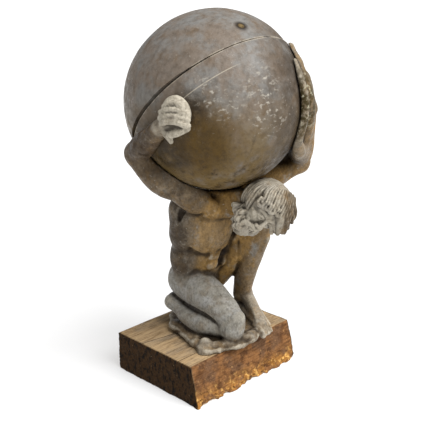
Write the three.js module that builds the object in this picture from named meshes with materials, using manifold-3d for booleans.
// A weathered cast-lead garden statue: a kneeling man carries a globe on his neck and raised arms.
// Figure and ground are one casting, which is fixed on a sawn block of old timber.
// The globe is two cast halves. Millimetres, +Z up. The man faces -Y and his left side is +X.
// The origin is the centre of the block's underside.
import * as THREE from "three";
import { mergeVertices } from "three/addons/utils/BufferGeometryUtils.js";
import Module from "manifold-3d";

const wasm = await Module();
wasm.setup();
const v = (x, y, z) => new THREE.Vector3(x, y, z);

// Timber block
const BLOCK_WIDTH = 402;
const BLOCK_DEPTH = 325;
const BLOCK_HEIGHT = 113;
const BLOCK_RAKE = 31; // the front face leans out by this much at the bottom
const ROT_BITES = 7; // hollows along the rotten lower front edge
const ROT_DEPTH = 7;
const CHECK_WIDTH = 3; // drying cracks along the grain of the top
const CHECK_DEPTH = 12;

// Globe
const GLOBE_CENTRE = v(28, 0, 769);
const GLOBE_RADIUS = 239;
const GLOBE_TILT = Math.PI / 4; // the joint between the halves leans back from level
const GLOBE_JOINT = 3; // open joint between the halves
const GLOBE_JOINT_RISE = 7; // the joint lies this far above the centre
const GLOBE_SAG = 0.965; // the upper half has sunk a little flat
const GLOBE_SLIP = 5; // and slipped towards -X
const GLOBE_SIDES = 34;
const GLOBE_ROWS = 9;

// Lead ground
const FIT = 0.3; // air left between touching pieces
const GLOBE_CLEAR = 2; // the same around the faceted globe
const GROUND_THICK = 22;
const GROUND_BASE = BLOCK_HEIGHT + FIT;
const GROUND_TOP = GROUND_BASE + GROUND_THICK;

// Joints of the figure
const PELVIS = v(28, 68, 258);
const WAIST = v(22, 52, 335);
const CHEST = v(16, 14, 425);
const NAPE = v(24, -44, 502);
const STERNUM = v(16, -62, 474);
const RIGHT_HIP = v(-18, 58, 247);
const RIGHT_KNEE = v(-22, -112, 181);
const RIGHT_ANKLE = v(-54, 64, 180);
const LEFT_HIP = v(76, 64, 244);
const LEFT_KNEE = v(100, -99, 412);
const LEFT_ANKLE = v(130, -21, 187);
const RIGHT_SHOULDER = v(-66, -15, 517);
const RIGHT_ELBOW = v(-188, 72, 650);
const RIGHT_WRIST = v(-225, -64, 742);
const LEFT_SHOULDER = v(104, -36, 513);
const LEFT_ELBOW = v(252, -112, 576);
const LEFT_WRIST = v(186, -192, 748);

// Head, bowed forward over the raised knee
const HEAD = v(46, -164, 503);
const CROWN = v(0.43, -0.75, 0.49).normalize(); // from the chin to the top of the head
const GAZE = v(-0.56, -0.65, -0.51).projectOnPlane(CROWN).normalize();
const HEAD_RIGHT = new THREE.Vector3().crossVectors(GAZE, CROWN);
const SKULL = [50, 60, 68]; // half breadth, half depth, half height
const HAIR = [57, 66, 64]; // the cap of hair over the skull
const WHORL = v(0.25, -0.45, 0.85).normalize(); // to the right, the gaze and the crown of the head
const HAIR_LOCKS = 12;
const BEARD_LOCKS = 5;

// Hands and feet
const FIST = v(-216, -98, 772);
const LEFT_PALM = v(168, -184, 830);
const LEFT_TIPS = v(152, -148, 906);
const FINGER_WIDTH = 16;
const TOE_WIDTH = 14;
const FOOT_OVERHANG = 8; // beyond this the toes may curl down past the top of the block

// A closed three.js geometry as a solid for joining and cutting.
function solid(geometry) {
  const bare = geometry.clone();
  bare.deleteAttribute("normal");
  bare.deleteAttribute("uv");
  const merged = mergeVertices(bare, 1e-4);
  const vertProperties = Float32Array.from(merged.attributes.position.array);
  const triVerts = Uint32Array.from(merged.index.array);
  return new wasm.Manifold(new wasm.Mesh({ numProp: 3, vertProperties, triVerts }));
}

function geometryOf(body) {
  const { vertProperties, triVerts } = body.getMesh();
  const geometry = new THREE.BufferGeometry();
  geometry.setAttribute("position", new THREE.BufferAttribute(Float32Array.from(vertProperties), 3));
  geometry.setIndex(new THREE.BufferAttribute(Uint32Array.from(triVerts), 1));
  return geometry;
}

const join = (solids) => solids.reduce((sum, next) => sum.add(next));

// A point part of the way along a bone, moved aside by a shift.
const along = (a, b, share, shift = v(0, 0, 0)) => a.clone().lerp(b, share).add(shift);

// A point in the head's own frame: to its right, towards its gaze and towards its crown.
function onHead(right, gaze, crown) {
  return HEAD.clone()
    .addScaledVector(HEAD_RIGHT, right).addScaledVector(GAZE, gaze).addScaledVector(CROWN, crown);
}

// A fleshy limb through stations [point, radius]: a turned profile with domed ends, bent along the curve.
// Slender ones end in a point.
function limb(stations, sides = 10) {
  const last = stations.length - 1;
  const path = new THREE.CatmullRomCurve3(stations.map(([at]) => at), false, "centripetal");
  const radiusAt = (s) => {
    const i = Math.min(Math.floor(s), last - 1);
    return THREE.MathUtils.lerp(stations[i][1], stations[i + 1][1], s - i);
  };
  const dome = sides > 6 ? [0, 0.7] : [0];
  const profile = dome.map((k) => new THREE.Vector2(radiusAt(0) * k, -Math.sqrt(1 - k * k)));
  stations.forEach(([, radius], i) => profile.push(new THREE.Vector2(radius, i)));
  dome.reverse();
  dome.forEach((k) => profile.push(new THREE.Vector2(radiusAt(last) * k, last + Math.sqrt(1 - k * k))));
  const geometry = new THREE.LatheGeometry(profile, sides);
  const place = geometry.attributes.position;
  const chord = stations[last][0].clone().sub(stations[0][0]).normalize();
  const leaning = (axis) => Math.abs(axis.dot(chord));
  const aside = [v(1, 0, 0), v(0, 1, 0), v(0, 0, 1)].sort((a, b) => leaning(a) - leaning(b))[0];
  for (let i = 0; i < place.count; i += 1) {
    const s = THREE.MathUtils.clamp(place.getY(i), 0, last);
    const tangent = path.getTangent(s / last);
    const side = aside.clone().projectOnPlane(tangent).normalize();
    const front = new THREE.Vector3().crossVectors(side, tangent);
    const over = (place.getY(i) - s) * radiusAt(s);
    const at = path.getPoint(s / last).addScaledVector(tangent, over);
    at.addScaledVector(side, place.getX(i)).addScaledVector(front, place.getZ(i));
    place.setXYZ(i, at.x, at.y, at.z);
  }
  return solid(geometry);
}

// An egg-shaped mass with its third radius along an axis and its first as near as can be to a side.
function mass(at, radii, axis = v(0, 0, 1), side = v(1, 0, 0), sides = 9) {
  const up = axis.clone().normalize();
  const across = side.clone().projectOnPlane(up).normalize();
  const deep = new THREE.Vector3().crossVectors(up, across);
  const geometry = new THREE.SphereGeometry(1, sides, Math.round(sides * 0.6));
  geometry.rotateX(Math.PI / 2);
  geometry.scale(...radii);
  geometry.applyMatrix4(new THREE.Matrix4().makeBasis(across, deep, up).setPosition(at));
  return solid(geometry);
}

// Hips, belly, ribs, back and shoulders
function trunk() {
  const lean = v(0, -0.4, 0.92);
  const parts = [
    mass(PELVIS, [84, 60, 58]),
    mass(v(-8, 86, 246), [52, 50, 55]),
    mass(v(72, 92, 248), [52, 50, 55]),
    limb([[PELVIS, 66], [WAIST, 66], [CHEST, 72]]),
    mass(v(20, 24, 330), [64, 52, 70], lean),
    mass(v(-36, 58, 326), [36, 42, 66]),
    mass(v(12, 10, 418), [88, 70, 88], lean, v(1, 0, 0), 12),
    mass(v(16, 10, 468), [94, 66, 54], lean),
    mass(v(-58, 34, 425), [36, 48, 76], lean),
    mass(v(-46, 46, 468), [40, 46, 60], lean),
    mass(v(80, 26, 425), [36, 46, 76], lean),
    limb([[RIGHT_SHOULDER, 36], [v(-32, -42, 486), 30], [STERNUM, 20]]),
    limb([[LEFT_SHOULDER, 36], [v(66, -50, 486), 30], [STERNUM, 20]]),
    limb([[NAPE, 46], [along(NAPE, HEAD, 0.5), 38], [along(NAPE, HEAD, 0.8), 40]]),
  ];
  for (let rib = 0; rib < 3; rib += 1) {
    parts.push(mass(v(-58 + rib * 2, 54, 466 - rib * 32), [26, 30, 22], lean, v(1, 0, 0), 8));
  }
  return parts;
}

function arm(shoulder, elbow, wrist) {
  const bone = elbow.clone().sub(shoulder);
  return [
    mass(along(shoulder, elbow, 0.14), [39, 39, 46], bone),
    limb([[shoulder, 39], [along(shoulder, elbow, 0.5), 40],
      [along(shoulder, elbow, 0.85), 34], [elbow, 32]]),
    mass(along(shoulder, elbow, 0.5, v(-8, 10, -12)), [34, 34, 62], bone),
    limb([[elbow, 31], [along(elbow, wrist, 0.3), 36], [along(elbow, wrist, 0.75), 26], [wrist, 21]]),
  ];
}

function legs() {
  const up = v(0, 0, 6);
  return [
    limb([[RIGHT_HIP, 56], [along(RIGHT_HIP, RIGHT_KNEE, 0.4, up), 55],
      [along(RIGHT_HIP, RIGHT_KNEE, 0.75, up), 47], [RIGHT_KNEE, 39]], 12),
    mass(RIGHT_KNEE.clone().add(v(-4, -2, -14)), [37, 37, 35]),
    limb([[v(-26, -100, 168), 33], [v(-51, -40, 161), 33], [v(-58, 20, 167), 28], [RIGHT_ANKLE, 22]]),
    limb([[LEFT_HIP, 54], [along(LEFT_HIP, LEFT_KNEE, 0.4), 52],
      [along(LEFT_HIP, LEFT_KNEE, 0.75), 44], [LEFT_KNEE, 37]]),
    limb([[LEFT_KNEE, 37], [along(LEFT_KNEE, LEFT_ANKLE, 0.3, v(0, 8, 0)), 41],
      [along(LEFT_KNEE, LEFT_ANKLE, 0.65), 31], [LEFT_ANKLE, 27]]),
  ];
}

// A foot from heel to ball with its five toes, the big toe on the inner side.
function foot(ankle, heel, ball, inner, sole) {
  const ahead = ball.clone().sub(heel).normalize();
  const arch = along(heel, ball, 0.45).addScaledVector(sole, -12);
  const parts = [
    limb([[ankle, 27], [heel, 23]], 8),
    limb([[heel, 23], [arch, 28], [ball, 21]]),
  ];
  for (let toe = 0; toe < 5; toe += 1) {
    const radius = toe === 0 ? 10 : 8 - toe * 0.4;
    const root = ball.clone().addScaledVector(inner, (1.6 - toe * 0.85) * TOE_WIDTH).addScaledVector(sole, 6);
    const tip = root.clone().addScaledVector(ahead, 42 - toe * 4).addScaledVector(sole, 12);
    parts.push(limb([[root, radius + 2], [tip, radius]], 5));
  }
  return parts;
}

function feet() {
  return [
    ...foot(RIGHT_ANKLE, v(-60, 84, 188), v(6, 122, 164), v(0.3, -0.5, -0.8), v(-0.4, 0.75, 0.5)),
    ...foot(LEFT_ANKLE, v(134, 6, GROUND_BASE + 23), v(92, -120, GROUND_BASE + 21),
      v(-0.95, 0.32, 0), v(0, 0, -1)),
  ];
}

// A place on the hair: the angle it has fallen from the whorl, the turn from the face, and how far
// it stands off. The low left side hangs away from the head.
function onHair(fall, turn, off) {
  const front = v(0, 1, 0).projectOnPlane(WHORL).normalize();
  const side = new THREE.Vector3().crossVectors(front, WHORL);
  const to = WHORL.clone().multiplyScalar(Math.cos(fall));
  to.addScaledVector(front, Math.sin(fall) * Math.cos(turn));
  to.addScaledVector(side, Math.sin(fall) * Math.sin(turn));
  const stand = off + 8 * Math.max(0, -to.x);
  return onHead(to.x * (HAIR[0] + stand), to.y * (HAIR[1] + stand) - 6, to.z * (HAIR[2] + stand) + 16);
}

// A lock of hair that lies along the head and waves to one side.
function lock(root, middle, tip, radius) {
  return limb([[root, radius], [middle, radius * 0.95], [tip, radius * 0.5]], 5);
}

function head() {
  const parts = [
    mass(HEAD, SKULL, CROWN, HEAD_RIGHT, 12),
    mass(onHead(0, -6, 16), HAIR, CROWN, HEAD_RIGHT, 12),
    mass(onHead(0, 22, -50), [34, 34, 30], CROWN, HEAD_RIGHT),
    limb([[onHead(0, 56, 12), 6], [onHead(0, 68, -10), 9], [onHead(0, 62, -17), 8]], 5),
    limb([[onHead(32, 46, 16), 8], [onHead(0, 58, 18), 8], [onHead(-32, 46, 16), 8]], 5),
  ];
  for (let k = 0; k < HAIR_LOCKS; k += 1) {
    const turn = ((k + 0.5) / HAIR_LOCKS) * 2 * Math.PI;
    const wave = k % 2 === 0 ? 0.15 : -0.12;
    const end = THREE.MathUtils.lerp(2.1, 1.1, THREE.MathUtils.smoothstep(Math.cos(turn), 0.2, 0.8));
    const tip = onHair(end + 0.15, turn - wave, 8);
    parts.push(lock(onHair(end - 0.95, turn, -6), onHair(end - 0.4, turn + wave, 2), tip, 14));
  }
  for (let k = 0; k < BEARD_LOCKS; k += 1) {
    const turn = THREE.MathUtils.lerp(-1.5, 1.5, k / (BEARD_LOCKS - 1));
    const wave = k % 2 === 0 ? 7 : -7;
    const right = Math.sin(turn) * 38;
    const gaze = Math.cos(turn) * 38;
    const tip = onHead(right * 0.6, gaze + 4, -84);
    parts.push(lock(onHead(right, gaze + 10, -38), onHead(right + wave, gaze + 14, -60), tip, 11));
  }
  return parts;
}

// The right hand is a fist on the globe and the left hand lies along it.
function hands() {
  const out = FIST.clone().sub(GLOBE_CENTRE).normalize();
  const run = new THREE.Vector3().crossVectors(v(0, 0, 1), out).normalize();
  const rise = new THREE.Vector3().crossVectors(out, run);
  const onFist = (up, ahead, off) => FIST.clone()
    .addScaledVector(rise, up).addScaledVector(run, ahead).addScaledVector(out, off);
  const reach = LEFT_TIPS.clone().sub(LEFT_PALM).normalize();
  const away = LEFT_PALM.clone().sub(GLOBE_CENTRE).normalize();
  const spread = new THREE.Vector3().crossVectors(reach, away).normalize();
  const parts = [
    limb([[RIGHT_WRIST, 21], [onFist(-10, -14, 2), 25], [onFist(14, -2, 0), 27]]),
    limb([[onFist(-20, -16, 6), 12], [onFist(-42, -14, 8), 10], [onFist(-60, -8, 6), 6]], 5),
    limb([[onFist(-28, -14, 2), 11], [onFist(-30, 24, 4), 10]], 5),
    limb([[LEFT_WRIST, 21], [LEFT_PALM, 17]], 8),
    mass(LEFT_PALM, [36, 14, 38], reach, spread),
    limb([[LEFT_PALM, 14], [along(LEFT_PALM, LEFT_TIPS, 0.25).addScaledVector(spread, 42), 9]], 5),
  ];
  for (let k = 0; k < 4; k += 1) {
    const row = (k - 1.5) * FINGER_WIDTH;
    const up = 17 - row;
    const half = 36 - Math.max(0, up - 10) * 0.42;
    parts.push(limb([[onFist(up, -half, 4), 10], [onFist(up, -8, 25), 11], [onFist(up, half - 5, 15), 10],
      [onFist(up, half, -4), 9]], 5));
    const root = LEFT_PALM.clone().addScaledVector(spread, row).addScaledVector(reach, 18);
    const tip = LEFT_TIPS.clone().addScaledVector(spread, row * 0.8);
    tip.addScaledVector(reach, -Math.abs(row) * 0.4);
    parts.push(limb([[root, 11], [along(root, tip, 0.5).addScaledVector(away, 5), 9.5], [tip, 7]], 5));
  }
  return parts;
}

// The ground is a thin uneven plate with a rock at its front corner and a low ridge beside the shin.
function ground() {
  const edge = [[-118, -60], [-120, -110], [-84, -134], [-30, -156], [20, -158], [48, -148], [68, -136],
    [98, -116], [118, -70], [146, -10], [156, 34], [116, 92], [60, 130], [0, 140], [-40, 120], [-60, 80],
    [-84, 30]];
  const outline = new THREE.SplineCurve([...edge, edge[0]].map(([x, y]) => new THREE.Vector2(x, y)));
  const shape = new THREE.Shape(outline.getPoints(Math.round(edge.length * 1.25)));
  const plate = new THREE.ExtrudeGeometry(shape, { depth: GROUND_THICK, bevelEnabled: false });
  plate.translate(0, 0, GROUND_BASE);
  return [
    solid(plate),
    mass(v(-88, -100, GROUND_TOP), [30, 25, 24]),
    mass(v(-52, -112, GROUND_TOP - 4), [40, 30, 18]),
    limb([[v(-84, -50, GROUND_TOP - 4), 18], [v(-72, 10, GROUND_TOP - 2), 17],
      [v(-48, 74, GROUND_TOP), 20]], 8),
    mass(v(40, -120, GROUND_TOP - 6), [70, 36, 16]),
  ];
}

function figure() {
  const globeRoom = new THREE.SphereGeometry(GLOBE_RADIUS + GLOBE_CLEAR, 34, 20);
  globeRoom.translate(...GLOBE_CENTRE);
  const below = new THREE.BoxGeometry(800, 800, 200);
  below.translate(0, 400 + BLOCK_RAKE - BLOCK_DEPTH / 2 - FOOT_OVERHANG, GROUND_BASE - 100);
  const flesh = [
    ...trunk(),
    ...arm(RIGHT_SHOULDER, RIGHT_ELBOW, RIGHT_WRIST),
    ...arm(LEFT_SHOULDER, LEFT_ELBOW, LEFT_WRIST),
    ...legs(),
    ...feet(),
    ...head(),
    ...hands(),
    ...ground(),
  ];
  return geometryOf(join(flesh).subtract(solid(globeRoom)).subtract(solid(below)));
}

// One half of the globe as a turned profile: flat on the joint, then round to the pole.
function globeHalf(up) {
  const flat = GLOBE_JOINT_RISE + (up * GLOBE_JOINT) / 2;
  const start = Math.asin(flat / GLOBE_RADIUS);
  const end = (up * Math.PI) / 2;
  const sag = up > 0 ? GLOBE_SAG : 1;
  const height = (a) => flat + (GLOBE_RADIUS * Math.sin(a) - flat) * sag;
  const profile = [new THREE.Vector2(0, flat)];
  for (let i = 0; i < GLOBE_ROWS; i += 1) {
    const a = THREE.MathUtils.lerp(start, end, i / GLOBE_ROWS);
    profile.push(new THREE.Vector2(GLOBE_RADIUS * Math.cos(a), height(a)));
  }
  profile.push(new THREE.Vector2(0, height(end)));
  if (up < 0) profile.reverse();
  const half = new THREE.LatheGeometry(profile, GLOBE_SIDES);
  half.rotateX(Math.PI / 2 - GLOBE_TILT);
  half.translate(...GLOBE_CENTRE);
  half.translate(up > 0 ? -GLOBE_SLIP : 0, 0, 0);
  return geometryOf(solid(half));
}

// A squared block with a raked front, a rotten lower front edge and drying cracks in the top.
function block() {
  const back = BLOCK_DEPTH / 2;
  const profile = new THREE.Shape([
    new THREE.Vector2(back, 0),
    new THREE.Vector2(back, BLOCK_HEIGHT),
    new THREE.Vector2(BLOCK_RAKE - back, BLOCK_HEIGHT),
    new THREE.Vector2(-back, 0),
  ]);
  const geometry = new THREE.ExtrudeGeometry(profile, { depth: BLOCK_WIDTH, bevelEnabled: false });
  geometry.rotateX(Math.PI / 2);
  geometry.rotateZ(Math.PI / 2);
  geometry.translate(-BLOCK_WIDTH / 2, 0, 0);
  const cuts = [];
  for (let i = 0; i < ROT_BITES; i += 1) {
    const x = THREE.MathUtils.lerp(-150, 180, i / (ROT_BITES - 1));
    const swing = Math.sin(i * 2.3);
    const deep = ROT_DEPTH + 5;
    cuts.push(mass(v(x, -back - 4, 2), [20 + 6 * swing, deep, deep + 3 * swing], v(0, 0, 1), v(1, 0, 0), 6));
  }
  for (const [x, y, long] of [[-150, 60, 90], [-168, -70, 60], [120, 120, 120]]) {
    const crack = new THREE.CylinderGeometry(CHECK_WIDTH, CHECK_WIDTH, 1, 6);
    crack.rotateZ(Math.PI / 2);
    crack.scale(long, 0.5, CHECK_DEPTH / CHECK_WIDTH);
    crack.translate(x, y, BLOCK_HEIGHT);
    cuts.push(solid(crack));
  }
  return geometryOf(cuts.reduce((body, cut) => body.subtract(cut), solid(geometry)));
}

function piece(name, geometry, colour, roughness, metalness) {
  const skin = new THREE.MeshStandardMaterial({ color: colour, roughness, metalness });
  const mesh = new THREE.Mesh(geometry, skin);
  mesh.name = name;
  return mesh;
}

const statue = new THREE.Group();
statue.add(
  piece("timber_block", block(), 0x6f5138, 0.9, 0),
  piece("atlas_figure", figure(), 0x857a66, 0.7, 0.2),
  piece("globe_lower", globeHalf(-1), 0x77705f, 0.6, 0.25),
  piece("globe_upper", globeHalf(1), 0x6f6a63, 0.6, 0.25),
);

export default statue;
